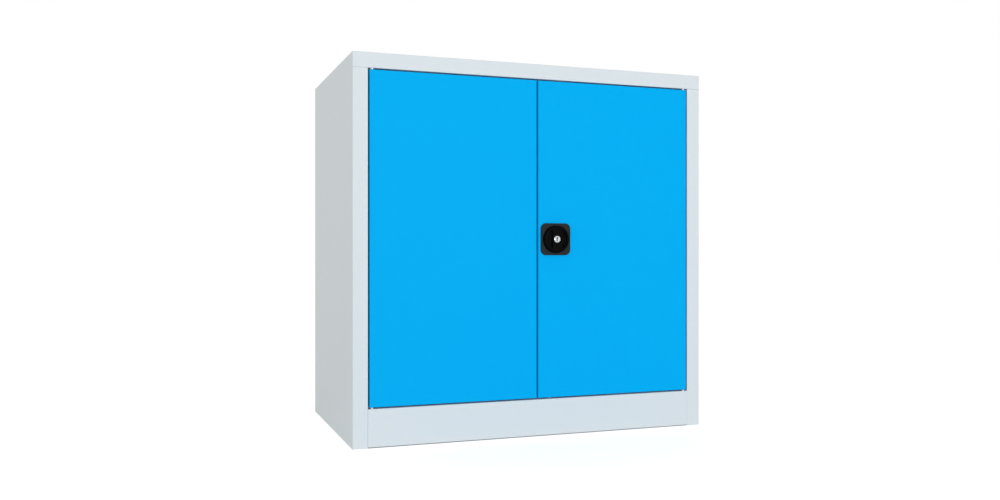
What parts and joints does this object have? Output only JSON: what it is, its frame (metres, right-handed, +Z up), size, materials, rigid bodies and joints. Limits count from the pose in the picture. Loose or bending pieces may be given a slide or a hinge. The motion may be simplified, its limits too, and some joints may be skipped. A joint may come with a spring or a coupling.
{
  "type": "tool cabinet with doors",
  "caption": "Low sheet-steel tool cabinet on a plinth with flush double doors, adjustable shelves and a rotary espagnolette lock.",
  "frame": {"origin": "on the ground, at the centre of the carcass's footprint (1000 by 600 mm)", "axes": "+Z up, the doors face -Y, +X is to the right seen from the front"},
  "size_m": [1, 0.6138, 1],
  "materials": {
    "carcass_paint": "fine-textured powder coat, light grey",
    "door_paint": "fine-textured powder coat, bright blue",
    "zinc_plated_steel": "bright zinc plating",
    "grey_plastic": "moulded, fine spark texture",
    "black_plastic": "moulded, satin",
    "nickel": "satin nickel plating",
    "nylon": "natural nylon",
    "rubber": "moulded rubber"
  },
  "bodies": {
    "cabinet": {"side_panel_left": "carcass_paint", "side_panel_right": "carcass_paint", "top_panel": "carcass_paint", "back_panel": "carcass_paint", "plinth": "carcass_paint", "floor_panel": "carcass_paint", "floor_stiffener": "carcass_paint", "shelf_rail_front_left": "carcass_paint", "shelf_rail_front_right": "carcass_paint", "shelf_rail_rear_left": "carcass_paint", "shelf_rail_rear_right": "carcass_paint", "lower_shelf": "carcass_paint", "lower_shelf_stiffener": "carcass_paint", "lower_shelf_clips": "zinc_plated_steel", "upper_shelf": "carcass_paint", "upper_shelf_stiffener": "carcass_paint", "upper_shelf_clips": "zinc_plated_steel", "pivot_plates": "zinc_plated_steel", "lower_pivot_pins": "zinc_plated_steel", "upper_pivot_pins": "zinc_plated_steel", "door_buffers": "rubber"},
    "left_door": {"left_door_panel": "door_paint", "left_door_stiffener": "door_paint", "left_pivot_bushes": "nylon", "strike_plate": "zinc_plated_steel"},
    "right_door": {"right_door_panel": "door_paint", "right_door_stiffener": "door_paint", "right_pivot_bushes": "nylon", "lock_rosette": "grey_plastic", "lock_case": "zinc_plated_steel", "lock_cover": "zinc_plated_steel", "lock_screws": "zinc_plated_steel", "cover_screws": "zinc_plated_steel", "upper_rod_guide": "nylon", "lower_rod_guide": "nylon"},
    "knob": {"lock_knob": "black_plastic", "lock_cylinder": "nickel", "lock_spindle": "zinc_plated_steel", "drive_pinion": "zinc_plated_steel", "latch_hook": "zinc_plated_steel", "spindle_nut": "zinc_plated_steel"},
    "key": {"key_plug": "nickel"},
    "upper_rod": {"upper_locking_rod": "zinc_plated_steel"},
    "lower_rod": {"lower_locking_rod": "zinc_plated_steel"}
  },
  "joints": [
    {"name": "left_door_hinge", "type": "hinge", "parent": "cabinet", "child": "left_door", "pos_m": [-0.45, -0.294, 0.53], "axis": [0, 0, -1], "range_deg": [0, 110]},
    {"name": "right_door_hinge", "type": "hinge", "parent": "cabinet", "child": "right_door", "pos_m": [0.45, -0.294, 0.53], "axis": [0, 0, 1], "range_deg": [0, 110]},
    {"name": "knob_turn", "type": "hinge", "parent": "right_door", "child": "knob", "pos_m": [0.052, -0.3, 0.52975], "axis": [0, -1, 0], "range_deg": [0, 90]},
    {"name": "key_turn", "type": "hinge", "parent": "knob", "child": "key", "pos_m": [0.052, -0.31, 0.52975], "axis": [0, 1, 0], "range_deg": [0, 90]},
    {"name": "upper_rod_slide", "type": "slide", "parent": "right_door", "child": "upper_rod", "axis": [0, 0, 1], "range_m": [0, 0.0165]},
    {"name": "lower_rod_slide", "type": "slide", "parent": "right_door", "child": "lower_rod", "axis": [0, 0, -1], "range_m": [0, 0.0165]}
  ],
  "couplings": [
    {"joint": "upper_rod_slide", "follows": "knob_turn", "m_per_rad": 0.0105},
    {"joint": "lower_rod_slide", "follows": "knob_turn", "m_per_rad": 0.0105}
  ]
}
